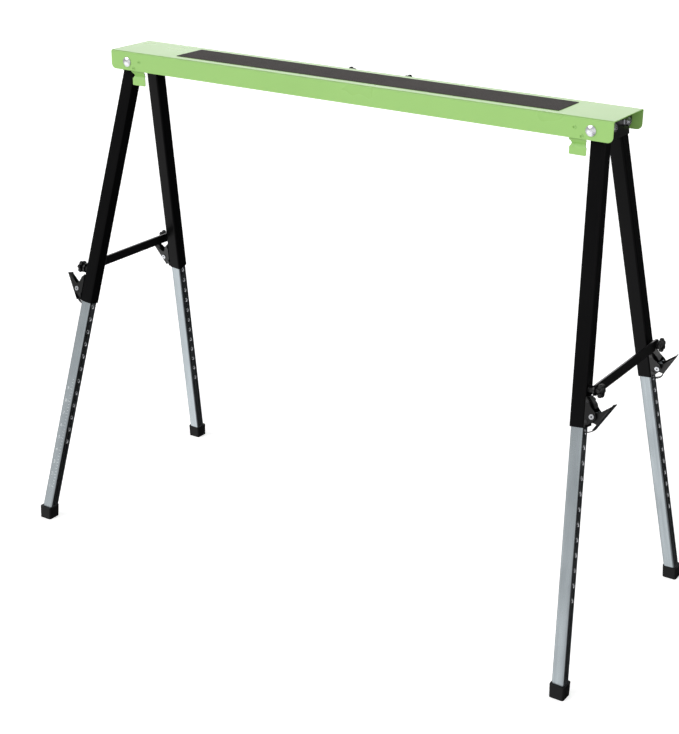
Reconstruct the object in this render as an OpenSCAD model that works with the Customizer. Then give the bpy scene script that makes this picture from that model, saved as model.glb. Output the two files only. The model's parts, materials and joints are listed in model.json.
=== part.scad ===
/* [Beam] */
// Overall height with the legs fully drawn out
stand_height = 901.7; // [600:0.1:1000]
// Length of the top channel
beam_length = 1000; // [600:1:1400]
// Width over the two skirts
beam_width = 112; // [90:0.5:140]
// Height of the skirts, top sheet included
skirt_height = 34; // [25:0.5:60]
// Thickness of the channel sheet
sheet = 1.5; // [1:0.1:3]
// Outside radius of the long bends
bend_radius = 3.5; // [2:0.1:6]
// Radius of the lower corners of the skirts
skirt_corner = 9; // [2:0.5:15]
// Length of the grip pad
pad_length = 760; // [300:1:1000]
// Width of the grip pad
pad_width = 73; // [30:0.5:100]
// Thickness of the grip pad
pad_thickness = 0.8; // [0.5:0.1:3]
// Distance of the pad's centre from the beam's centre
pad_shift = 18; // [-50:1:50]

/* [End brackets] */
// Distance of the bracket pivots from the beam's centre
pivot_x = 463; // [300:1:600]
// Depth of the bracket pivots below the top face
pivot_drop = 18.9; // [12:0.1:30]
// Lean of each leg pair along the beam
lean = 5.823; // [0:0.001:15]
// Thickness of the bracket plate
bracket_sheet = 2; // [1:0.1:4]
// Outside of the bracket flanges from the centre plane
flange_out = 52.7; // [40:0.1:70]
// Radius of the flange around the pivot
flange_radius = 16; // [10:0.5:25]
// Height of the web above the pivot
web_up = 14; // [5:0.5:20]
// Depth of the full-width web below the pivot
web_down = 4; // [1:0.5:10]
// Depth of the web's middle tongue below the pivot
tongue_down = 22; // [10:0.5:40]
// Half width of the web's middle tongue
tongue_half = 42; // [30:0.5:48]

/* [Legs] */
// Splay of each leg away from the centre plane
splay = 13.452; // [5:0.001:20]
// Half distance between the two leg bolts
leg_bolt_y = 26.5; // [15:0.5:40]
// Distance of the leg centre lines outboard of the pivot
leg_offset = 5; // [0:0.5:15]
// Outside width of the upper leg tube
upper_width = 25.4; // [20:0.1:40]
// Wall of the upper leg tube
upper_wall = 1.5; // [1:0.1:3]
// Outside width of the lower leg tube
lower_width = 21.4; // [15:0.1:35]
// Wall of the lower leg tube
lower_wall = 1.4; // [1:0.1:3]
// Corner radius of both tubes
tube_corner = 3.5; // [1:0.1:6]
// Length of the upper leg above its bolt
leg_above_bolt = 9; // [5:0.5:15]
// Length of the upper leg below its bolt
upper_below_bolt = 468; // [300:1:600]
// Distance from the leg bolt to the top end of the lower leg
lower_top = 368; // [250:1:500]
// Distance from the leg bolt to the hole that the lock uses
lock_hole = 476; // [300:1:620]
// Pitch of the height holes
hole_pitch = 25; // [15:0.5:40]
// Number of height holes
hole_count = 12; // [3:1:16]
// Radius of the height holes
hole_radius = 4; // [2:0.1:5]
// Width of the rubber foot cap at the floor
cap_width = 26; // [22:0.1:40]
// Width of the foot cap at its top
cap_top_width = 27; // [22:0.1:40]
// Height of the foot cap
cap_height = 24; // [15:0.5:50]
// Distance between the outer sides of the caps, along the beam
foot_spread_x = 1140; // [900:0.5:1500]
// Distance between the outer sides of the caps, across the beam
foot_spread_y = 498.5; // [300:0.5:800]

/* [Leg locks] */
// Distance of the lever pivot from the leg's centre line
lever_out = 25; // [18:0.5:35]
// Distance of the lever pivot from the leg bolt
lever_down = 448.3; // [300:0.1:600]
// Width of the lever
lever_width = 13.4; // [8:0.2:20]
// Thickness of the lock's sheet steel
lock_sheet = 1.5; // [1:0.1:3]
// Reach of the lever's tip beyond its pivot
tip_out = 33.3; // [15:0.1:45]
// Rise of the lever's tip above its pivot
tip_up = 21.7; // [5:0.1:40]
// Radius of the curved prong
prong_radius = 24; // [18:0.5:40]
// Width of the curved prong
prong_width = 5; // [2:0.5:8]

/* [Crossbars and knobs] */
// Distance of the knob studs from the leg bolt
knob_down = 407.5; // [200:0.5:500]
// Width of the crossbar
bar_width = 18; // [10:0.5:30]
// Thickness of the crossbar
bar_thickness = 3; // [2:0.5:6]
// Distance of the crossbar's inner face from the leg's centre line
bar_out = 21; // [14:0.5:30]
// Slant of the hook's slot from straight down
hook_angle = 27; // [0:0.5:60]
// Radius of the knob studs
stud_radius = 3; // [2:0.5:5]
// Overall diameter of the star knob
knob_diameter = 24; // [15:0.5:40]
// Thickness of the knob's star
knob_thickness = 7; // [4:0.5:15]

/* [Latches and handle] */
// Width of the latch tab
tab_width = 29; // [15:0.5:40]
// Distance of the latch tab's middle from the beam's centre
tab_x = 440.5; // [300:0.5:600]
// Depth of the latch tab's lower edge below the top face
tab_drop = 61; // [45:0.5:80]
// Half distance between the two handle brackets
handle_half = 60; // [45:1:80]
// Distance of the handle's pivot behind the back skirt
handle_out = 20; // [12:0.5:35]
// Depth of the handle's pivot below the top face
handle_pivot_drop = 11; // [9:0.5:25]
// Length of the handle from its pivot to the grip's centre
handle_drop = 44; // [35:1:80]
// Diameter of the handle's grip
grip_diameter = 20; // [14:0.5:30]

/* [Hidden] */
$fn = 48;
clearance = 0.3;
fit = 0.05;
bolt_radius = 4;
top_z = stand_height - pad_thickness;
skirt_bottom = top_z - skirt_height;
skirt_face = beam_width / 2;
skirt_inside = skirt_face - sheet;
pivot_z = top_z - pivot_drop;
axis_up = leg_offset * sin(lean);
bolt_height = pivot_z + axis_up;
leg_length = bolt_height / (cos(lean) * cos(splay));
stud_y = leg_bolt_y + knob_down * sin(splay);
stud_down = knob_down * cos(splay);
web_out = leg_offset + upper_width / 2 + clearance;
root_thickness = 1.2;
root_face = skirt_inside - 0.1;
tab_root_z = top_z - skirt_height - 1.3;
tab_outer_y = skirt_face - 5;
handle_y = skirt_face + handle_out;
handle_z = top_z - handle_pivot_drop;
ear_radius = 9;
ear_sheet = 2;

paint_green = [0.42, 0.68, 0.25];
paint_black = [0.06, 0.06, 0.06];
zinc = [0.68, 0.72, 0.75];
bright = [0.8, 0.8, 0.82];
rubber = [0.08, 0.08, 0.08];

// Frames. End 1 is the right end, end -1 the left. Side 1 is the back, side -1 the front.

// The frame of one end: origin on the bracket pivot, X square to the leg pair, Z up along it.
module end_frame(end)
{
    rotate([0, 0, end > 0 ? 0 : 180])
        translate([pivot_x, 0, pivot_z])
            rotate([0, -lean, 0])
                children();
}

// The frame of one leg: origin on the leg bolt, X outward, -Z down the leg.
module leg_frame(end, side)
{
    end_frame(end)
        translate([leg_offset, side * end * leg_bolt_y, 0])
            rotate([side * end * splay, 0, 0])
                children();
}

// Turns a flat outline drawn in X and Z into a plate centred on Y.
module side_plate(thickness)
{
    rotate([90, 0, 0])
        linear_extrude(height = thickness, center = true)
            children();
}

// Shafts along X or Y, starting at the origin.
module along_x(length)
{
    rotate([0, 90, 0])
        linear_extrude(height = length)
            children();
}

module along_y(length)
{
    rotate([-90, 0, 0])
        linear_extrude(height = length)
            children();
}

module hexagon(across)
{
    circle(d = across / cos(30), $fn = 6);
}

module rounded_square(width, corner)
{
    inner = width - 2 * corner;
    square([width, inner], center = true);
    square([inner, width], center = true);
    for (x = [-1, 1], y = [-1, 1])
        translate([x * inner / 2, y * inner / 2])
            circle(r = corner);
}

// A square tube down the leg, from one distance below the bolt to another.
module leg_tube(from, to, width, wall)
{
    translate([0, 0, -to])
        linear_extrude(height = to - from)
            difference()
            {
                rounded_square(width, tube_corner);
                rounded_square(width - 2 * wall, tube_corner - wall);
            }
}

// A low domed head on a round shank that points along -Z from the origin.
module domed_bolt(head_diameter, head_height, shank, length)
{
    rim = head_height * 0.3;
    cylinder(d = head_diameter, h = rim);
    intersection()
    {
        dome = (pow(head_diameter / 2, 2) + pow(head_height - rim, 2)) / (2 * (head_height - rim));
        translate([0, 0, head_height - dome])
            sphere(r = dome);
        translate([0, 0, rim - fit])
            cylinder(d = head_diameter, h = head_height);
    }
    translate([0, 0, -length])
        cylinder(r = shank, h = length + rim / 2);
}

// Beam

module channel_outline(width, height, corner)
{
    difference()
    {
        translate([-width / 2, -height])
            square([width, height]);
        for (side = [-1, 1])
            translate([side * (width / 2 - corner), -corner])
                difference()
                {
                    translate([side > 0 ? 0 : -corner, 0])
                        square([corner, corner]);
                    circle(r = corner);
                }
    }
}

module skirt_corner_cut(end)
{
    size = skirt_corner;
    translate([end * (beam_length / 2 - size), 0, skirt_bottom + size])
        difference()
        {
            translate([end > 0 ? 0 : -size, -beam_width, -size])
                cube([size, 2 * beam_width, size]);
            rotate([90, 0, 0])
                cylinder(r = size, h = 3 * beam_width, center = true);
        }
}

// Places of the two clinch marks beside each pivot, from the pivot: inboard and down.
clinch_marks = [[28, -1.9], [15, 10.6]];
clinch_radius = 4;
clinch_depth = 1;

module clinch_places(face)
{
    for (end = [-1, 1], side = [-1, 1], mark = clinch_marks)
        translate([end * (pivot_x - mark[0]), side * face, pivot_z - mark[1]])
            children();
}

module top_channel()
{
    color(paint_green)
        difference()
        {
            translate([-beam_length / 2, 0, top_z])
                rotate([90, 0, 90])
                    linear_extrude(height = beam_length)
                        difference()
                        {
                            channel_outline(beam_width, skirt_height, bend_radius);
                            translate([0, -sheet])
                                channel_outline(beam_width - 2 * sheet, skirt_height,
                                                bend_radius - sheet);
                        }
            for (end = [-1, 1])
            {
                skirt_corner_cut(end);
                translate([end * pivot_x, -beam_width, pivot_z])
                    along_y(2 * beam_width)
                        circle(r = bolt_radius + fit);
            }
            clinch_places(skirt_face + clinch_radius - clinch_depth)
                sphere(r = clinch_radius);
            for (x = [-1, 1])
                translate([x * handle_foot_x, 0, handle_z - handle_rivet_drop])
                    along_y(beam_width)
                        circle(r = rivet_radius + fit);
        }
}

module grip_pad()
{
    color(paint_black)
        translate([pad_shift - pad_length / 2, -pad_width / 2, top_z])
            cube([pad_length, pad_width, pad_thickness]);
}

// Pivots of the end brackets

pivot_head = 17.5;
pivot_head_height = 4.325;
nut_across = 13;
nut_height = 6;
nut_face = flange_out - bracket_sheet - clearance;

module pivot_bolts()
{
    color(bright)
        for (end = [-1, 1], side = [-1, 1])
            translate([end * pivot_x, side * skirt_face, pivot_z])
                rotate([side * -90, 0, 0])
                    domed_bolt(pivot_head, pivot_head_height, bolt_radius,
                               skirt_face - nut_face + nut_height + 1);
}

module pivot_nuts()
{
    color(zinc)
        for (end = [-1, 1], side = [-1, 1])
            translate([end * pivot_x, side * nut_face, pivot_z])
                rotate([side * 90, 0, 0])
                    linear_extrude(height = nut_height)
                        difference()
                        {
                            hexagon(nut_across);
                            circle(r = bolt_radius + fit);
                        }
}

module pivot_washers()
{
    washer = skirt_inside - flange_out - clearance - 0.1;
    color(zinc)
        for (end = [-1, 1], side = [-1, 1])
            translate([end * pivot_x, side * (skirt_inside - 0.1), pivot_z])
                rotate([side * 90, 0, 0])
                    linear_extrude(height = washer)
                        difference()
                        {
                            circle(r = 7.5);
                            circle(r = bolt_radius + fit);
                        }
}

// End brackets

module flange_outline()
{
    circle(r = flange_radius);
    translate([0, -web_down])
        square([web_out + bracket_sheet, web_down + web_up]);
}

module end_bracket(end)
{
    color(paint_black)
        end_frame(end)
            difference()
            {
                union()
                {
                    for (side = [-1, 1])
                        translate([0, side * (flange_out - bracket_sheet / 2), 0])
                            side_plate(bracket_sheet)
                                flange_outline();
                    translate([web_out, -flange_out, -web_down])
                        cube([bracket_sheet, 2 * flange_out, web_down + web_up]);
                    translate([web_out, -tongue_half, -tongue_down])
                        cube([bracket_sheet, 2 * tongue_half, tongue_down]);
                }
                translate([0, -beam_width, 0])
                    along_y(2 * beam_width)
                        circle(r = bolt_radius + fit);
                for (side = [-1, 1])
                    translate([web_out - 1, side * leg_bolt_y, 0])
                        along_x(bracket_sheet + 2)
                            circle(r = bolt_radius + fit);
            }
}

leg_head = 13;
leg_head_height = 2.6;
leg_nut_face = web_out + bracket_sheet + 0.1;

module leg_bolts(end)
{
    head_face = leg_offset - upper_width / 2 - clearance;
    color(bright)
        end_frame(end)
            for (side = [-1, 1])
                translate([head_face, side * leg_bolt_y, 0])
                    rotate([0, -90, 0])
                        domed_bolt(leg_head, leg_head_height, bolt_radius,
                                   leg_nut_face - head_face + 9);
}

module leg_nuts(end)
{
    color(zinc)
        end_frame(end)
            for (side = [-1, 1])
                translate([leg_nut_face, side * leg_bolt_y, 0])
                    difference()
                    {
                        union()
                        {
                            along_x(1.4)
                                circle(d = 16);
                            along_x(6.5)
                                hexagon(nut_across);
                            along_x(8)
                                circle(d = 11);
                        }
                        translate([-1, 0, 0])
                            along_x(12)
                                circle(r = bolt_radius + fit);
                    }
}

// Latches

module latch_roots()
{
    color(paint_green)
        for (end = [-1, 1], side = [-1, 1])
            translate([end * tab_x, side * (root_face - root_thickness / 2), 0])
                translate([-tab_width / 2, -root_thickness / 2, tab_root_z + clearance])
                    cube([tab_width, root_thickness, pivot_z + 9 - tab_root_z - clearance]);
}

tab_bend_out = root_face;
tab_bend_in = skirt_face - 8.4;
tab_bend_drop = 8;
tab_lip_drop = 12.6;

// The strip in Y and Z: in from the skirt to a fold, out again, and straight down.
module tab_strip()
{
    bottom = tab_root_z - (top_z - tab_drop);
    wall = root_thickness;
    polygon([
        [-tab_bend_out, 0], [-tab_bend_in, -tab_bend_drop],
        [-tab_outer_y, -tab_lip_drop], [-tab_outer_y, -bottom],
        [wall - tab_outer_y, -bottom], [wall - tab_outer_y, -tab_lip_drop - 0.5],
        [wall - tab_bend_in + 0.2, -tab_bend_drop + 0.2],
        [wall - tab_bend_out + 0.4, 0]
    ]);
}

// The tab seen from the front: a finger plate with a waist at the fold.
module tab_face()
{
    depth = tab_root_z - (top_z - tab_drop);
    difference()
    {
        translate([-tab_width / 2, -depth - 1])
            square([tab_width, depth + 2]);
        for (side = [-1, 1])
        {
            translate([side * (tab_width / 2 + 4.5), -tab_bend_drop])
                circle(r = 7);
            translate([side * (tab_width / 2 - 2), -depth])
                difference()
                {
                    translate([side > 0 ? 0 : -3, -3])
                        square([3, 5]);
                    translate([0, 2])
                        circle(r = 2);
                }
        }
    }
}

module latch_tab(end, side)
{
    color(paint_green)
        translate([end * tab_x, 0, tab_root_z])
            rotate([0, 0, side > 0 ? 180 : 0])
                intersection()
                {
                    rotate([90, 0, 90])
                        linear_extrude(height = tab_width, center = true)
                            tab_strip();
                    rotate([90, 0, 0])
                        linear_extrude(height = beam_width)
                            tab_face();
                }
}

// Carry handle

rivet_radius = 2.4;
handle_foot_x = handle_half + 9;
handle_rivet_drop = 5;
handle_pin_radius = 3;

module handle_brackets()
{
    color(paint_black)
        for (side = [-1, 1])
            difference()
            {
                union()
                {
                    translate([side * handle_half, 0, handle_z])
                        rotate([90, 0, 90])
                            linear_extrude(height = ear_sheet, center = true)
                            {
                                translate([handle_y, 0])
                                    circle(r = ear_radius);
                                translate([skirt_face + 0.1, -ear_radius - 6])
                                    square([handle_out - 0.1, 15]);
                            }
                    translate([side > 0 ? handle_half - 1 : -handle_half - 17,
                               skirt_face + 0.1, handle_z - 15])
                        cube([18, ear_sheet, 20]);
                }
                translate([side * (handle_half - 5), handle_y, handle_z])
                    along_x_signed(side, 10)
                        circle(r = handle_pin_radius + fit);
                translate([side * handle_foot_x, skirt_face - 1, handle_z - handle_rivet_drop])
                    along_y(5)
                        circle(r = rivet_radius + fit);
            }
}

module along_x_signed(side, length)
{
    rotate([0, side * 90, 0])
        linear_extrude(height = length)
            children();
}

module handle_rivets()
{
    color(bright)
        for (x = [-1, 1])
            translate([x * handle_foot_x, skirt_face + 0.2 + ear_sheet,
                       handle_z - handle_rivet_drop])
            {
                rotate([-90, 0, 0])
                    domed_bolt(9, 2.4, rivet_radius, sheet + ear_sheet + 0.3);
                translate([0, -sheet - ear_sheet - 0.2 - 1.2, 0])
                    along_y(1.1)
                        circle(r = 3.6);
            }
}

module handle_pins()
{
    color(bright)
        for (side = [-1, 1])
            translate([side * (handle_half + ear_sheet / 2 + 0.1), handle_y, handle_z])
                rotate([0, side * 90, 0])
                    domed_bolt(9, 2.2, handle_pin_radius, 10);
}

module carry_handle()
{
    arm_x = handle_half - ear_sheet / 2 - clearance - 3;
    color(paint_black)
        translate([0, handle_y, handle_z])
            difference()
            {
                union()
                {
                    for (side = [-1, 1])
                        translate([side * arm_x, 0, 0])
                        {
                            translate([-3, 0, 0])
                                along_x(6)
                                    circle(r = 7);
                            translate([-3, -6, -handle_drop])
                                cube([6, 12, handle_drop]);
                            translate([-3, 0, -handle_drop])
                                along_x(6)
                                    circle(d = grip_diameter);
                        }
                    translate([-arm_x, 0, -handle_drop])
                        along_x(2 * arm_x)
                            circle(d = grip_diameter - 2);
                    for (ring = [-4 : 4])
                        translate([ring * 11 - 3, 0, -handle_drop])
                            along_x(6)
                                circle(d = grip_diameter);
                }
                translate([-handle_half, 0, 0])
                    along_x(2 * handle_half)
                        circle(r = handle_pin_radius + fit);
            }
}

// Legs

module upper_leg(end, side)
{
    color(paint_black)
        leg_frame(end, side)
            difference()
            {
                leg_tube(-leg_above_bolt, upper_below_bolt, upper_width, upper_wall);
                translate([-upper_width, 0, 0])
                    along_x(2 * upper_width)
                        circle(r = bolt_radius + fit);
            }
}

module lower_leg(end, side)
{
    color(zinc)
        leg_frame(end, side)
            difference()
            {
                leg_tube(lower_top, leg_length - cap_floor - 2, lower_width, lower_wall);
                for (hole = [0 : hole_count - 1])
                    translate([-lower_width, 0, -lock_hole - hole * hole_pitch])
                        along_x(2 * lower_width)
                            circle(r = hole_radius);
            }
}

cap_shift = [-0.5, -1.2];
cap_floor = 4;

// The cap stands upright on the floor; its socket follows the slanting leg.
module foot_cap(end, side)
{
    reach = [(foot_spread_x - cap_width) / 2, (foot_spread_y - cap_width) / 2];
    color(rubber)
        difference()
        {
            hull()
            {
                translate([end * reach[0], side * reach[1], 0])
                    linear_extrude(height = 1)
                        rounded_square(cap_width, tube_corner, $fn = 32);
                translate([end * (reach[0] + cap_shift[0]), side * (reach[1] + cap_shift[1]),
                           cap_height - 1])
                    linear_extrude(height = 1)
                        rounded_square(cap_top_width, tube_corner, $fn = 32);
            }
            leg_frame(end, side)
                translate([0, 0, -leg_length + cap_floor + 1.9])
                    linear_extrude(height = 2 * cap_height)
                        rounded_square(lower_width + 0.1, tube_corner);
        }
}

// Leg locks, drawn around the lever's pivot: X outward, Z up the leg.

module lock_frame(end, side)
{
    leg_frame(end, side)
        translate([lever_out, 0, -lever_down])
            children();
}

lock_base = upper_width / 2 + 0.05 - lever_out;
cheek_out = 6.5;
small_pins = [[lock_base + 3.2, 24], [lock_base + 3.2, -8.5]];
small_pin_radius = 1.8;
small_pin_head = 2.7;

module cheek_outline()
{
    polygon([
        [lock_base, 28], [lock_base + 4, 28], [-4, 17], [cheek_out - 1.5, 6],
        [cheek_out, 0], [cheek_out - 2.5, -5], [lock_base + 5.5, -14], [lock_base, -14]
    ]);
    circle(r = cheek_out);
}

module lock_bracket(end, side)
{
    color(paint_black)
        lock_frame(end, side)
            difference()
            {
                union()
                {
                    for (y = [-1, 1])
                        translate([0, y * (upper_width - lock_sheet) / 2, 0])
                            side_plate(lock_sheet)
                                cheek_outline();
                    translate([lock_base, -upper_width / 2, -18.5])
                        cube([2, upper_width, 49]);
                    side_plate(lever_width)
                        polygon([
                            [lock_base, 30.5], [lock_base + 3, 30.5], [0, 20], [2.5, 12.5],
                            [1.3, 12.2], [-1.2, 19.4], [lock_base + 2, 28.5],
                            [lock_base, 28.5]
                        ]);
                }
                rotate([90, 0, 0])
                    cylinder(r = 3 + fit, h = 2 * upper_width, center = true);
                for (pin = small_pins)
                    translate([pin[0], 0, pin[1]])
                        rotate([90, 0, 0])
                            cylinder(r = small_pin_radius + fit, h = 2 * upper_width,
                                     center = true);
            }
}

lever_foot = [1, -22.5];
lever_slope = atan2(tip_up - lever_foot[1], tip_out - lever_foot[0]);
prong_tip = [lower_width / 2 + clearance - lever_out, lever_down - lock_hole - lock_sheet / 2];
prong_centre = prong_tip + [0, prong_radius];

// The straight outer plate, from its foot to its tip.
module lever_plate()
{
    translate(lever_foot)
        rotate(lever_slope)
            square([norm([tip_out, tip_up] - lever_foot), lock_sheet]);
}

// The prong curves from the foot of the plate towards the leg, and meets it squarely.
module prong_outline()
{
    intersection()
    {
        translate(prong_centre)
            difference()
            {
                circle(r = prong_radius);
                circle(r = prong_radius - lock_sheet);
            }
        translate([prong_tip[0], prong_tip[1] - 1])
            square([lever_foot[0] + 1.5 - prong_tip[0], lever_foot[1] - prong_tip[1] + 2]);
    }
}

// A side of the lever: around the pivot, along the outer plate and out to its tip.
module lever_cheek()
{
    low = 9.5;
    polygon([
        [tip_out, tip_up], [9, 6.2], [5, 6], [-5, 5], [-6, -3], [-1, -10],
        lever_foot + low * [1 / tan(lever_slope), 1]
    ]);
}

module lock_lever(end, side)
{
    color(paint_black)
        lock_frame(end, side)
            difference()
            {
                union()
                {
                    for (y = [-1, 1])
                        translate([0, y * (lever_width - lock_sheet) / 2, 0])
                            side_plate(lock_sheet)
                                lever_cheek();
                    side_plate(lever_width)
                        lever_plate();
                    side_plate(prong_width)
                        prong_outline();
                }
                rotate([90, 0, 0])
                    cylinder(r = 3 + fit, h = 2 * lever_width, center = true);
            }
}

module lock_pins(end, side)
{
    color(bright)
        lock_frame(end, side)
        {
            difference()
            {
                union()
                {
                    rotate([90, 0, 0])
                        cylinder(r = 3, h = upper_width + 1, center = true);
                    for (y = [-1, 1])
                        translate([0, y * (upper_width / 2 + 0.75), 0])
                            rotate([90, 0, 0])
                                cylinder(r = 4.2, h = 1.3, center = true);
                }
                rotate([90, 0, 0])
                    cylinder(r = 1.5, h = 2 * upper_width, center = true);
            }
            for (pin = small_pins)
                translate([pin[0], 0, pin[1]])
                {
                    rotate([90, 0, 0])
                        cylinder(r = small_pin_radius, h = upper_width + 1, center = true);
                    for (y = [-1, 1])
                        translate([0, y * (upper_width / 2 + 0.65), 0])
                            rotate([90, 0, 0])
                                cylinder(r = small_pin_head, h = 1.1, center = true);
                }
        }
}

coil_wire = 0.8;
coil_radius = 4.2;
coil_turns = 4;
coil_pitch = 2 * coil_wire + fit;
spring_tail = 10;
spring_arm = 14.2;
spring_arm_rise = 20;

// The spring is a stack of rings with a straight tail on one side and an arm on the other.
module lock_spring(end, side)
{
    edge = (coil_turns - 1) / 2 * coil_pitch;
    color(zinc)
        lock_frame(end, side)
        {
            for (turn = [0 : coil_turns - 1])
                translate([0, turn * coil_pitch - edge, 0])
                    rotate([90, 0, 0])
                        rotate_extrude()
                            translate([coil_radius, 0])
                                circle(r = coil_wire);
            translate([-coil_radius, -edge - coil_pitch, -spring_tail])
                cylinder(r = coil_wire, h = spring_tail + coil_wire);
            rotate([0, -spring_arm_rise, 0])
                translate([-coil_wire, edge + coil_pitch, -coil_radius])
                    along_x(spring_arm + coil_wire)
                        circle(r = coil_wire);
        }
}

// Crossbars and knobs

module knob_stud(end, side)
{
    collar = bar_out - upper_width / 2 - clearance - 0.05;
    color(paint_black)
        leg_frame(end, side)
            translate([upper_width / 2 + 0.05, 0, -knob_down])
            {
                along_x(collar)
                    hexagon(12);
                along_x(1.5)
                    circle(d = 16);
                along_x(bar_out + bar_thickness + 8 - upper_width / 2)
                    circle(r = stud_radius);
            }
}

module star_outline(radius)
{
    lobe = radius * 0.3;
    circle(r = radius * 0.72);
    for (turn = [0 : 60 : 300])
        rotate(turn)
            translate([radius - lobe, 0])
                circle(r = lobe);
}

module star_knob(end, side)
{
    hub = 4.7;
    start = bar_out + bar_thickness + clearance;
    color(paint_black)
        leg_frame(end, side)
            translate([start, 0, -knob_down])
                difference()
                {
                    union()
                    {
                        along_x(hub + 1)
                            circle(r = 6.5);
                        translate([hub, 0, 0])
                            along_x(knob_thickness)
                                star_outline(knob_diameter / 2);
                        translate([hub, 0, 0])
                            along_x(knob_thickness + 1)
                                circle(r = 5);
                    }
                    translate([-1, 0, 0])
                        along_x(bar_out + bar_thickness + 8 - start + 1.5)
                            circle(r = stud_radius + fit);
                }
}

hook_gap = 0.6;

// The hook's slot opens downward and towards the pivot knob.
module crossbar(end)
{
    color(paint_black)
        end_frame(end)
            translate([leg_offset + bar_out, 0, -stud_down])
                rotate([90, 0, 90])
                    linear_extrude(height = bar_thickness)
                        difference()
                        {
                            union()
                            {
                                square([2 * stud_y, bar_width], center = true);
                                for (y = [-1, 1])
                                    translate([y * stud_y, 0])
                                        circle(d = bar_width);
                            }
                            translate([-stud_y, 0])
                                circle(r = stud_radius + fit);
                            translate([stud_y, 0])
                            {
                                circle(r = stud_radius + hook_gap);
                                rotate(-hook_angle)
                                    translate([-stud_radius - hook_gap, -bar_width])
                                        square([2 * (stud_radius + hook_gap), bar_width]);
                            }
                        }
}

top_channel();
grip_pad();
pivot_bolts();
pivot_nuts();
pivot_washers();
latch_roots();
latch_tab(-1, -1);  // latch_tab_front_left
latch_tab(1, -1);  // latch_tab_front_right
latch_tab(-1, 1);  // latch_tab_back_left
latch_tab(1, 1);  // latch_tab_back_right
handle_brackets();
handle_rivets();
handle_pins();
carry_handle();
end_bracket(-1);  // end_bracket_left
end_bracket(1);  // end_bracket_right
leg_bolts(-1);  // leg_bolts_left
leg_bolts(1);  // leg_bolts_right
leg_nuts(-1);  // leg_nuts_left
leg_nuts(1);  // leg_nuts_right
crossbar(-1);  // crossbar_left
crossbar(1);  // crossbar_right
upper_leg(-1, -1);  // upper_leg_front_left
upper_leg(1, -1);  // upper_leg_front_right
upper_leg(-1, 1);  // upper_leg_back_left
upper_leg(1, 1);  // upper_leg_back_right
lower_leg(-1, -1);  // lower_leg_front_left
lower_leg(1, -1);  // lower_leg_front_right
lower_leg(-1, 1);  // lower_leg_back_left
lower_leg(1, 1);  // lower_leg_back_right
foot_cap(-1, -1);  // foot_cap_front_left
foot_cap(1, -1);  // foot_cap_front_right
foot_cap(-1, 1);  // foot_cap_back_left
foot_cap(1, 1);  // foot_cap_back_right
lock_bracket(-1, -1);  // lock_bracket_front_left
lock_bracket(1, -1);  // lock_bracket_front_right
lock_bracket(-1, 1);  // lock_bracket_back_left
lock_bracket(1, 1);  // lock_bracket_back_right
lock_lever(-1, -1);  // lock_lever_front_left
lock_lever(1, -1);  // lock_lever_front_right
lock_lever(-1, 1);  // lock_lever_back_left
lock_lever(1, 1);  // lock_lever_back_right
lock_spring(-1, -1);  // lock_spring_front_left
lock_spring(1, -1);  // lock_spring_front_right
lock_spring(-1, 1);  // lock_spring_back_left
lock_spring(1, 1);  // lock_spring_back_right
lock_pins(-1, -1);  // lock_pins_front_left
lock_pins(1, -1);  // lock_pins_front_right
lock_pins(-1, 1);  // lock_pins_back_left
lock_pins(1, 1);  // lock_pins_back_right
knob_stud(-1, -1);  // knob_stud_front_left
knob_stud(1, -1);  // knob_stud_front_right
knob_stud(-1, 1);  // knob_stud_back_left
knob_stud(1, 1);  // knob_stud_back_right
star_knob(-1, -1);  // star_knob_front_left
star_knob(1, -1);  // star_knob_front_right
star_knob(-1, 1);  // star_knob_back_left
star_knob(1, 1);  // star_knob_back_right
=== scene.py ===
import json
import math

import bmesh
import bpy
from mathutils import Matrix, Vector


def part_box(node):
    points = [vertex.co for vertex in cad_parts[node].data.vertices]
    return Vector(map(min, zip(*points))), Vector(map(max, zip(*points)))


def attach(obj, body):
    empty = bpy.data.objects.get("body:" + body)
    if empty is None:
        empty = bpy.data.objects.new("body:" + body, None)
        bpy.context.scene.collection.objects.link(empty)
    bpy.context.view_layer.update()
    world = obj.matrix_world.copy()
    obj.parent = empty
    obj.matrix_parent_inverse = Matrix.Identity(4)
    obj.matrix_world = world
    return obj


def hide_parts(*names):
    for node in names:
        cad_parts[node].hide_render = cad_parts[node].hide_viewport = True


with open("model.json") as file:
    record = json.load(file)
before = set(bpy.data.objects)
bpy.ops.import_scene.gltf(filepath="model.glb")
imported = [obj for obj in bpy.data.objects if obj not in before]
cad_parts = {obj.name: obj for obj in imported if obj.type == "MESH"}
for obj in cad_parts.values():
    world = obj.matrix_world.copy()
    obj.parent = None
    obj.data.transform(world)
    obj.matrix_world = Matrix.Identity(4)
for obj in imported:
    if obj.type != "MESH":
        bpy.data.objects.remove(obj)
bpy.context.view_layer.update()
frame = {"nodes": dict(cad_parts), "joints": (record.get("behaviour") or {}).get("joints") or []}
nodes = frame["nodes"]
joints = {joint["name"]: joint for joint in frame["joints"]}
scene = bpy.context.scene

MM = 0.001
CORNERS = ("front_left", "front_right", "back_left", "back_right")


# ---------------------------------------------------------------- materials

class NodeTree:
    """Short calls for adding nodes to a node tree and wiring them up."""

    def __init__(self, tree):
        self.tree = tree

    def add(self, kind, options=None, **inputs):
        node = self.tree.nodes.new("ShaderNode" + kind)
        for option, value in (options or {}).items():
            setattr(node, option, value)
        for socket, value in inputs.items():
            self.feed(node, socket.replace("_", " "), value)
        return node

    def feed(self, node, socket, value):
        """Links or sets a socket, given by its name or as i and its number."""
        target = node.inputs[int(socket[1:])] if socket[0] == "i" and socket[1:].isdigit() \
            else node.inputs[socket]
        if isinstance(value, bpy.types.NodeSocket):
            self.tree.links.new(value, target)
        else:
            target.default_value = value


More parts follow.
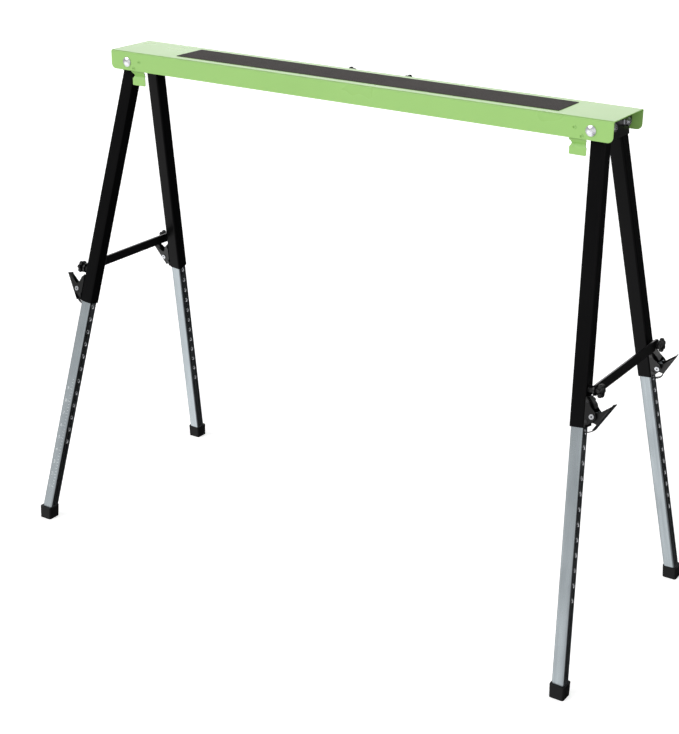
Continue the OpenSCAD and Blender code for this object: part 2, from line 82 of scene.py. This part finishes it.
class Shader(NodeTree):
    """A material round one Principled surface, with calls for what its surface is made of."""

    def __init__(self, name, **surface):
        self.material = bpy.data.materials.new(name)
        self.material.use_nodes = True
        super().__init__(self.material.node_tree)
        self.surface = self.tree.nodes["Principled BSDF"]
        for socket, value in surface.items():
            self.surface.inputs[socket.replace("_", " ")].default_value = value

    def place(self, scale=(1, 1, 1), turn=(0, 0, 0)):
        """Object coordinates, turned and then scaled."""
        coordinates = self.add("TexCoord")
        turned = self.add("Mapping", Vector=coordinates.outputs["Object"], Rotation=turn)
        return self.add("Mapping", Vector=turned.outputs["Vector"], Scale=scale).outputs["Vector"]

    def noise(self, scale, detail=2.0, roughness=0.5, vector=None):
        vector = vector or self.add("TexCoord").outputs["Object"]
        return self.add("TexNoise", Vector=vector, Scale=scale, Detail=detail,
                        Roughness=roughness).outputs["Fac"]

    def spread(self, value, low, high, start=0.3, end=0.7):
        """Stretches a noise value from start..end to low..high."""
        return self.add("MapRange", Value=value, From_Min=start, From_Max=end,
                        To_Min=low, To_Max=high).outputs["Result"]

    def blend(self, factor, first, second):
        return self.add("Mix", {"data_type": "RGBA"}, i0=factor, i6=first, i7=second).outputs[2]

    def colour(self, value):
        self.feed(self.surface, "Base Color", value)

    def rough(self, value):
        self.feed(self.surface, "Roughness", value)

    def bump(self, height, strength, distance):
        normal = self.add("Bump", Height=height, Strength=strength, Distance=distance)
        self.feed(self.surface, "Normal", normal.outputs["Normal"])


def rgb(red, green, blue):
    """A linear colour from 8-bit display values."""
    def linear(value):
        value /= 255
        return value / 12.92 if value <= 0.04045 else ((value + 0.055) / 1.055) ** 2.4
    return (linear(red), linear(green), linear(blue), 1.0)


def powder_coat(name, main, shade, gloss, grain, shine, peel=0.10):
    """Powder coat: faint cloudiness, an orange-peel surface and slightly duller patches."""
    shader = Shader(name, Specular_IOR_Level=shine)
    cloud = shader.noise(9, detail=3)
    shader.colour(shader.blend(shader.spread(cloud, 0, 1), main, shade))
    rubbed = shader.noise(11, detail=2)
    shader.rough(shader.spread(rubbed, gloss - 0.01, gloss + 0.02))
    shader.bump(shader.noise(grain, detail=2), peel, 0.0004)
    return shader.material


def zinc(name, along=(0, 0, 1), gloss=0.34):
    """Zinc plate: drawn streaks along the tube, cloudy passivation and a little tarnish."""
    turn = Vector(along).rotation_difference(Vector((0, 0, 1))).to_euler()
    shader = Shader(name, Metallic=1.0)
    streaks = shader.noise(1, detail=4, roughness=0.6,
                           vector=shader.place((420, 420, 5), turn))
    cloud = shader.noise(1, detail=3, vector=shader.place((26, 26, 9), turn))
    tint = (176, 184, 188)
    base = shader.blend(shader.spread(cloud, 0, 1), rgb(*tint),
                        rgb(*(value * 0.86 for value in tint)))
    shader.colour(shader.blend(shader.spread(streaks, 0, 0.35), base, rgb(138, 146, 152)))
    shader.rough(shader.spread(streaks, gloss - 0.07, gloss + 0.10))
    shader.bump(streaks, 0.05, 0.0003)
    return shader.material


def turned_steel(name):
    """Bright zinc-plated steel of bolts and rivets, finely scuffed."""
    shader = Shader(name, Metallic=1.0)
    scuffs = shader.noise(900, detail=4, roughness=0.7)
    cloud = shader.noise(160, detail=2)
    shader.colour(shader.blend(shader.spread(cloud, 0, 1), rgb(232, 233, 236), rgb(200, 202, 207)))
    shader.rough(shader.spread(scuffs, 0.18, 0.36))
    shader.bump(scuffs, 0.06, 0.0002)
    return shader.material


# How far the lever's bright pivot pin reaches from its axis; the rivets lie further out.
PIVOT_REACH = 4.6 * MM


def riveted(name, corner):
    """The lock's pins: the lever's pivot is bright steel, the small rivets beside it are painted."""
    pivot = joints["lock_" + corner]
    shader = Shader(name)
    place = shader.add("TexCoord").outputs["Object"]
    arm = shader.add("VectorMath", {"operation": "SUBTRACT"}, i0=place, i1=pivot["pos_m"])
    off = shader.add("VectorMath", {"operation": "CROSS_PRODUCT"}, i0=arm.outputs["Vector"],
                     i1=pivot["axis"])
    reach = shader.add("VectorMath", {"operation": "LENGTH"}, i0=off.outputs["Vector"])
    painted = shader.add("Math", {"operation": "GREATER_THAN"}, i0=reach.outputs["Value"],
                         i1=PIVOT_REACH).outputs["Value"]
    scuffs = shader.noise(900, detail=4, roughness=0.7)
    shader.colour(shader.blend(painted, rgb(200, 202, 206), rgb(30, 30, 32)))
    shader.feed(shader.surface, "Metallic", shader.spread(painted, 1, 0, 0, 1))
    shader.rough(shader.spread(scuffs, 0.20, 0.38))
    shader.bump(scuffs, 0.06, 0.0002)
    return shader.material


def grit_pad(name):
    """Anti-slip sheet: a dense coat of dark mineral grit, slightly faded in patches."""
    shader = Shader(name, Roughness=0.92)
    grains = shader.add("TexVoronoi", Vector=shader.place(), Scale=1300.0)
    fade = shader.noise(14, detail=4, roughness=0.6)
    speck = shader.noise(2600, detail=2, roughness=0.8)
    base = shader.blend(shader.spread(fade, 0, 1), rgb(48, 44, 43), rgb(60, 55, 53))
    lit = shader.blend(shader.spread(speck, 0, 0.6), base, rgb(84, 79, 77))
    shader.colour(lit)
    shader.bump(grains.outputs["Distance"], 0.55, 0.0006)
    return shader.material


def moulded(name, tone, gloss, shine):
    """Moulded rubber or plastic: a spark-eroded grain and slight dust in it."""
    shader = Shader(name, Specular_IOR_Level=shine)
    dust = shader.noise(45, detail=4, roughness=0.65)
    shader.colour(shader.blend(shader.spread(dust, 0, 1), rgb(*tone),
                               rgb(*(value + 9 for value in tone))))
    shader.rough(shader.spread(dust, gloss - 0.06, gloss + 0.08))
    shader.bump(shader.noise(900, detail=2), 0.16, 0.0003)
    return shader.material


green = powder_coat("green_powder_coat", rgb(158, 207, 114), rgb(154, 203, 110), 0.28, 1500, 0.5,
                    peel=0.05)
black = powder_coat("black_powder_coat", rgb(6, 6, 7), rgb(10, 10, 11), 0.30, 1700, 0.07)
black_plate = powder_coat("black_plate_coat", rgb(8, 8, 9), rgb(13, 13, 14), 0.30, 1700, 0.36)
pad_grit = grit_pad("anti_slip_grit")
bright = turned_steel("bright_zinc")
plate = zinc("zinc_plate")
cap_rubber = moulded("foot_rubber", (12, 12, 13), 0.50, 0.12)
knob_plastic = moulded("knob_plastic", (11, 11, 12), 0.32, 0.36)
mark_paint = moulded("mark_paint", (214, 220, 222), 0.5, 0.4)
lock_rivets = {corner: riveted("lock_rivets_" + corner, corner) for corner in CORNERS}
leg_zinc = {corner: zinc("zinc_leg_" + corner, joints["height_" + corner]["axis"], gloss=0.27)
            for corner in CORNERS}

# The material of each CAD node, by how its name starts.
FINISHES = (
    ("top_channel", green), ("latch", green), ("grip_pad", pad_grit),
    ("pivot_bolts", bright), ("leg_bolts", bright), ("handle_rivets", bright),
    ("handle_pins", bright),
    ("pivot_nuts", bright), ("pivot_washers", bright), ("leg_nuts", bright),
    ("knob_stud", black_plate), ("lock_spring", plate),
    ("handle_brackets", black_plate), ("end_bracket", black_plate), ("crossbar", black_plate),
    ("upper_leg", black), ("lock_bracket", black_plate), ("lock_lever", black_plate),
    ("foot_cap", cap_rubber), ("star_knob", knob_plastic), ("carry_handle", knob_plastic),
)


def finish_of(name):
    if name.startswith("lower_leg_"):
        return leg_zinc[name[len("lower_leg_"):]]
    if name.startswith("lock_pins_"):
        return lock_rivets[name[len("lock_pins_"):]]
    return next(material for start, material in FINISHES if name.startswith(start))


def dress(piece, material):
    piece.data.materials.clear()
    piece.data.materials.append(material)


def round_edges(piece, width):
    """A small bevel on the sharp edges, so that they catch the light."""
    bevel = piece.modifiers.new("edges", "BEVEL")
    bevel.width = width
    bevel.segments = 2
    bevel.limit_method = "ANGLE"
    bevel.angle_limit = math.radians(40)


for name, piece in nodes.items():
    dress(piece, finish_of(name))


# ------------------------------------------------------------------ meshes

def new_piece(name, mesh, material, body):
    """Makes a mesh a piece that rides on a body, smooth but for its sharp edges."""
    mesh.shade_smooth()
    mesh.set_sharp_from_angle(angle=math.radians(35))
    piece = bpy.data.objects.new(name, mesh)
    scene.collection.objects.link(piece)
    dress(piece, material)
    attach(piece, body)
    return piece


def skin_rings(name, rings):
    """A mesh through rings of points, each ring with the same number of points, capped at both ends."""
    mesh = bpy.data.meshes.new(name)
    shape = bmesh.new()
    corners = [[shape.verts.new(point) for point in ring] for ring in rings]
    for low, high in zip(corners, corners[1:]):
        for turn in range(len(low)):
            nxt = (turn + 1) % len(low)
            shape.faces.new((low[turn], low[nxt], high[nxt], high[turn]))
    shape.faces.new(list(reversed(corners[0])))
    shape.faces.new(corners[-1])
    bmesh.ops.recalc_face_normals(shape, faces=shape.faces)
    shape.to_mesh(mesh)
    shape.free()
    return mesh


WIRE_SIDES = 12


def wire(name, path, radius):
    """A round wire along a path of points."""
    path = [Vector(point) for point in path]
    steps = [(after - before).normalized()
             for before, after in zip([path[0]] + path[:-1], path[1:] + [path[-1]])]
    normal = steps[0].orthogonal().normalized()
    rings = []
    for point, step in zip(path, steps):
        normal = (normal - step * normal.dot(step)).normalized()
        side = step.cross(normal)
        rings.append([point + radius * (math.cos(turn) * normal + math.sin(turn) * side)
                      for turn in (2 * math.pi * i / WIRE_SIDES for i in range(WIRE_SIDES))])
    return skin_rings(name, rings)


def outward(corner):
    """The direction out of the leg's outward side."""
    return Vector(joints["splay_" + corner]["axis"])


def up_leg(corner):
    """The direction up the leg, along which the lower leg slides."""
    return Vector(joints["height_" + corner]["axis"])


def leg_place(corner, origin):
    """A frame at a point on the leg: X outward, Z up the leg."""
    out, up = outward(corner), up_leg(corner)
    turn = Matrix((out, up.cross(out), up)).transposed()
    return Matrix.Translation(origin) @ turn.to_4x4()


# ------------------------------------------------------------------- knobs

LOBES = 6
# Height along the stud, radius, and depth of the grooves between the lobes, in millimetres.
KNOB_PROFILE = (
    (-5.7, 4.4, 0.0), (-5.5, 4.7, 0.0), (-2.0, 4.7, 0.0), (-1.2, 6.2, 0.3), (-0.95, 9.6, 1.6),
    (-0.6, 11.0, 2.6), (0.2, 11.8, 3.0), (2.0, 12.0, 3.1), (3.9, 11.9, 3.1), (5.0, 11.3, 2.8),
    (5.7, 10.2, 2.2), (5.95, 9.0, 1.5), (5.8, 7.4, 0.6), (5.4, 6.3, 0.0), (5.6, 5.5, 0.0),
    (6.5, 5.0, 0.0), (6.9, 4.2, 0.0), (6.95, 2.0, 0.0),
)
KNOB_SEGMENTS = 96
# How sharply a groove's sides rise into the lobes.
GROOVE_SHARPNESS = 1.6


def knob(corner):
    """A six-lobed star knob on a round hub, with a raised cap in a dished top."""
    name = "star_knob_" + corner
    rings = []
    for height, radius, groove in KNOB_PROFILE:
        ring = []
        for step in range(KNOB_SEGMENTS):
            turn = 2 * math.pi * step / KNOB_SEGMENTS
            dip = groove * (0.5 - 0.5 * math.cos(LOBES * turn)) ** GROOVE_SHARPNESS
            reach = (radius - dip) * MM
            ring.append(Vector((height * MM, reach * math.cos(turn), reach * math.sin(turn))))
        rings.append(ring)
    mesh = skin_rings(name + "_moulding", rings)
    mesh.transform(leg_place(corner, Vector(joints["knob_turn_" + corner]["pos_m"])))
    piece = new_piece(name + "_moulding", mesh, knob_plastic, "knob_" + corner)
    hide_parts(name)


# ------------------------------------------------------------------ springs

COIL_RADIUS = 4.2 * MM
COIL_WIRE = 0.75 * MM
COIL_TURNS = 4.5
COIL_HALF_WIDTH = 3.9 * MM
COIL_STEPS = 120
# The direction in which the arm leaves the coil.
ARM_TURN = math.radians(20 - 90)
ARM_LENGTH = 7.6 * MM
ARM_STEPS = 5
TAIL_LENGTH = 10 * MM
TAIL_STEPS = 6


def spring(corner):
    """A torsion spring round the lever's pin: a tail along the base and an arm under the lever."""
    name = "lock_spring_" + corner
    path = [Vector((-COIL_RADIUS, -COIL_HALF_WIDTH, TAIL_LENGTH * (i / TAIL_STEPS - 1)))
            for i in range(TAIL_STEPS)]
    start, end = math.pi, math.pi - 2 * math.pi * COIL_TURNS + ARM_TURN + math.pi
    for i in range(COIL_STEPS + 1):
        turn = start + (end - start) * i / COIL_STEPS
        across = COIL_HALF_WIDTH * (2 * i / COIL_STEPS - 1)
        path.append(Vector((COIL_RADIUS * math.cos(turn), across, COIL_RADIUS * math.sin(turn))))
    last, before = path[-1], path[-2]
    along = last - before
    along.y = 0
    along.normalize()
    path += [last + along * (ARM_LENGTH * i / ARM_STEPS) for i in range(1, ARM_STEPS + 1)]
    mesh = wire(name + "_wire", path, COIL_WIRE)
    mesh.transform(leg_place(corner, Vector(joints["lock_" + corner]["pos_m"])))
    piece = new_piece(name + "_wire", mesh, plate, "lever_" + corner)
    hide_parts(name)


# ------------------------------------------------- height holes, clinch marks

# The row of height holes: from the leg bolt to the hole that the lock uses, and on down the leg.
LOCK_HOLE = 476 * MM
HOLE_PITCH = 25 * MM
HOLE_COUNT = 12
RIM_RADIUS = 3.6 * MM
RIM_WIRE = 1.1 * MM
# How far the middle of a rim's wire lies under the leg's face.
RIM_DEPTH = 1.0 * MM
RING_STEPS = 28
RING_SIDES = 8
# Each clinch mark: how far it is inboard of the pivot bolt, and how far below it.
CLINCH_MARKS = ((28 * MM, -1.9 * MM), (15 * MM, 10.6 * MM))
CLINCH_RADIUS = 2.7 * MM
CLINCH_WIRE = 0.7 * MM


def leg_centre(corner):
    """The middle of the lower leg's tube at the level of its foot end, and half its width."""
    up, out = up_leg(corner), outward(corner)
    points = [vert.co for vert in nodes["lower_leg_" + corner].data.vertices]
    middle, half = [], []
    for direction in (out, up.cross(out)):
        reach = [point.dot(direction) for point in points]
        middle.append((min(reach) + max(reach)) / 2)
        half.append((max(reach) - min(reach)) / 2)
    foot = min(point.dot(up) for point in points)
    return out * middle[0] + up.cross(out) * middle[1] + up * foot, half[0]


def add_ring(shape, middle, axis, radius, thickness):
    """Adds a round ring to a mesh in the making."""
    axis = axis.normalized()
    first = axis.orthogonal().normalized()
    second = axis.cross(first)
    rings = []
    for step in range(RING_STEPS):
        turn = 2 * math.pi * step / RING_STEPS
        ray = first * math.cos(turn) + second * math.sin(turn)
        rings.append([shape.verts.new(middle + ray * (radius + thickness * math.cos(bend))
                                      + axis * thickness * math.sin(bend))
                      for bend in (2 * math.pi * i / RING_SIDES for i in range(RING_SIDES))])
    for ring, after in zip(rings, rings[1:] + rings[:1]):
        for i in range(RING_SIDES):
            nxt = (i + 1) % RING_SIDES
            shape.faces.new((ring[i], ring[nxt], after[nxt], after[i]))


def ring_piece(name, rings, material, body):
    """One piece of several rings, each given by its middle, axis, radius and thickness."""
    shape = bmesh.new()
    for ring in rings:
        add_ring(shape, *ring)
    bmesh.ops.recalc_face_normals(shape, faces=shape.faces)
    mesh = bpy.data.meshes.new(name)
    shape.to_mesh(mesh)
    shape.free()
    new_piece(name, mesh, material, body)


def hole_rims(corner):
    """The rolled edge of each height hole, on both faces of the leg."""
    up, out = up_leg(corner), outward(corner)
    centre, half = leg_centre(corner)
    bolt = Vector(joints["splay_" + corner]["pos_m"])
    level = centre + up * (bolt - centre).dot(up)
    rings = [(level - up * (LOCK_HOLE + hole * HOLE_PITCH) + out * side * (half - RIM_DEPTH),
              out, RIM_RADIUS, RIM_WIRE)
             for hole in range(HOLE_COUNT) for side in (-1, 1)]
    ring_piece("hole_rims_" + corner, rings, bright, "lower_" + corner)


def clinch_rims():
    """The pressed-up edge round each clinch mark beside the pivot bolts."""
    low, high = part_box("top_channel")
    rings = []
    for end, joint in ((-1, "fold_left"), (1, "fold_right")):
        pivot = Vector(joints[joint]["pos_m"])
        for face in (low[1], high[1]):
            for inboard, down in CLINCH_MARKS:
                middle = Vector((pivot.x - end * inboard, face, pivot.z - down))
                rings.append((middle, Vector((0, 1, 0)), CLINCH_RADIUS, CLINCH_WIRE))
    ring_piece("clinch_rims", rings, green, "frame")


# ------------------------------------------------------------- height scale

SCALE_START = 60 * MM
SCALE_STEP = 25.4 * MM
SCALE_COUNT = 9
# The ticks end on one line near the leg's edge, and the digits stand beside them.
TICK_LINE = 7.5 * MM
DIGIT_LINE = -2.5 * MM
DIGIT_HEIGHT = 9 * MM
# The ticks of one step: a long one at the number, and shorter ones between.
TICK_LENGTHS = (6 * MM, 3 * MM, 4 * MM, 3 * MM)
TICK_WIDTH = 0.6 * MM
MARK_THICKNESS = 0.08 * MM


def flat_bar(shape, low, high):
    """Adds a box between two corners."""
    for vert in bmesh.ops.create_cube(shape, size=1)["verts"]:
        vert.co = Vector((low[axis] + (vert.co[axis] + 0.5) * (high[axis] - low[axis])
                          for axis in range(3)))


def height_scale(corner, side):
    """Ticks and generic numbers along the plain face of a lower leg, on its front or its back."""
    up, out = up_leg(corner), outward(corner)
    normal = up.cross(out).normalized()
    if normal.y * side < 0:
        normal = -normal
    across = up.cross(normal)
    centre, half = leg_centre(corner)
    turn = Matrix((across, up, normal)).transposed().to_4x4()
    place = Matrix.Translation(centre + normal * half) @ turn
    shape = bmesh.new()
    for step in range(SCALE_COUNT * len(TICK_LENGTHS)):
        length = TICK_LENGTHS[step % len(TICK_LENGTHS)]
        height = SCALE_START + step * SCALE_STEP / len(TICK_LENGTHS)
        flat_bar(shape, (TICK_LINE - length, height, -MARK_THICKNESS / 2),
                 (TICK_LINE, height + TICK_WIDTH, MARK_THICKNESS))
    mesh = bpy.data.meshes.new("scale_ticks_" + corner)
    shape.to_mesh(mesh)
    shape.free()
    mesh.transform(place)
    new_piece("scale_ticks_" + corner, mesh, mark_paint, "lower_" + corner)
    for number in range(1, SCALE_COUNT + 1):
        text = bpy.data.curves.new("digit", "FONT")
        text.body = str(number)
        text.size = DIGIT_HEIGHT
        text.extrude = MARK_THICKNESS / 2
        text.align_x = "CENTER"
        text.align_y = "CENTER"
        holder = bpy.data.objects.new("digit", text)
        digit = bpy.data.meshes.new_from_object(holder)
        bpy.data.objects.remove(holder)
        height = SCALE_START + (number - 1) * SCALE_STEP
        digit.transform(place @ Matrix.Translation((DIGIT_LINE, height, MARK_THICKNESS / 2)))
        name = "scale_number_%d_%s" % (number, corner)
        digit.name = name
        new_piece(name, digit, mark_paint, "lower_" + corner)


for corner in CORNERS:
    knob(corner)
    spring(corner)
    hole_rims(corner)
clinch_rims()
height_scale("front_left", -1)
height_scale("back_right", 1)


# ------------------------------------------------------------- finer edges

# The width of the bevel on each CAD node, in millimetres, by how its name starts.
EDGE_ROUNDING = (
    ("crossbar", 0.5), ("end_bracket", 0.6), ("lock_bracket", 0.5), ("lock_lever", 0.5),
    ("latch", 0.35), ("handle_brackets", 0.5), ("foot_cap", 0.8), ("grip_pad", 0.3),
    ("pivot_nuts", 0.3), ("leg_nuts", 0.3), ("carry_handle", 0.8), ("knob_stud", 0.3),
    ("top_channel", 0.35), ("pivot_bolts", 0.2), ("upper_leg", 0.3), ("lower_leg", 0.6),
)
for name, piece in nodes.items():
    for start, width in EDGE_ROUNDING:
        if name.startswith(start):
            round_edges(piece, width * MM)


# ------------------------------------------------------------- camera, light

def camera():
    """The camera stands in front and to the right, about half a metre above the beam."""
    place = Vector((1.4260, -2.2262, 1.4363))
    azimuth, elevation, roll = (math.radians(angle) for angle in (33.16, 22.02, 0.56))
    turn = (Matrix.Rotation(azimuth, 3, "Z") @ Matrix.Rotation(math.pi / 2 - elevation, 3, "X")
            @ Matrix.Rotation(roll, 3, "Z"))
    data = bpy.data.cameras.new("camera")
    data.lens = 76.37
    piece = bpy.data.objects.new("camera", data)
    piece.matrix_world = Matrix.Translation(place) @ turn.to_4x4()
    scene.collection.objects.link(piece)
    scene.camera = piece


AMBIENT = 0.55
WALL_WHITE = 0.97
FLOOR_SIZE = 40
FLOOR_GLOW = 0.55
# Each glow or shade: the direction it comes from, its strength, and the cosines where it ends
# and where it is full.
GLOWS = (
    ((0.55, -0.80, 0.10), 0.40, 0.20, 0.90),
    ((-0.48, -0.55, 0.68), 2.9, 0.87, 0.97),
    ((-0.50, -0.58, -0.64), 1.30, 0.66, 0.96),
    ((-0.45, 0.74, 0.42), 1.4, 0.84, 0.98),
    ((0.75, 0.55, 0.40), 1.7, 0.82, 0.97),
)
SHADES = (
    ((0.62, 0.62, -0.50), 0.97, 0.40, 0.88),
    ((0, 0, 1), 0.97, 0.10, 0.90),
    ((-0.62, -0.78, 0.05), 0.30, 0.80, 0.98),
    ((0, 0, -1), 0.75, 0.10, 0.90),
)


def lobe(sky, ray, direction, strength, edge, full):
    """Falls smoothly from strength round a direction to nothing at the edge."""
    near = sky.add("VectorMath", {"operation": "DOT_PRODUCT"}, i0=ray,
                   i1=Vector(direction).normalized())
    return sky.add("MapRange", {"interpolation_type": "SMOOTHSTEP"}, Value=near.outputs["Value"],
                   From_Min=edge, From_Max=full, To_Max=strength).outputs["Result"]


def studio():
    """White walls with soft glows, strongest high at the front left, and shades that darken them.

    The camera sees the walls as plain white, and the floor shows in no reflection."""
    world = bpy.data.worlds.new("studio")
    world.use_nodes = True
    sky = NodeTree(world.node_tree)
    ray = sky.add("TexCoord").outputs["Generated"]
    glow = AMBIENT
    for each in SHADES:
        left = sky.add("Math", {"operation": "SUBTRACT"}, i0=1.0, i1=lobe(sky, ray, *each))
        glow = sky.add("Math", {"operation": "MULTIPLY"}, i0=glow, i1=left.outputs["Value"])
        glow = glow.outputs["Value"]
    for each in GLOWS:
        glow = sky.add("Math", {"operation": "ADD"}, i0=glow, i1=lobe(sky, ray, *each))
        glow = glow.outputs["Value"]
    seen = sky.add("LightPath").outputs["Is Camera Ray"]
    wall = sky.add("Mix", i0=seen, i2=glow, i3=WALL_WHITE).outputs[0]
    sky.feed(sky.tree.nodes["Background"], "Strength", wall)
    sky.feed(sky.tree.nodes["Background"], "Color", (1, 1, 1, 1))
    scene.world = world

    bpy.ops.mesh.primitive_plane_add(size=FLOOR_SIZE)
    floor = bpy.context.object
    floor.name = "floor"
    paper = Shader("pale_floor", Roughness=0.9)
    paper.colour(paper.blend(paper.spread(paper.noise(3), 0, 1), (0.86, 0.86, 0.86, 1),
                             (0.88, 0.88, 0.88, 1)))
    paper.feed(paper.surface, "Emission Color", (1, 1, 1, 1))
    paper.feed(paper.surface, "Emission Strength", FLOOR_GLOW)
    dress(floor, paper.material)
    floor.visible_glossy = False
    floor.visible_diffuse = False


camera()
studio()
scene.view_settings.view_transform = "Standard"
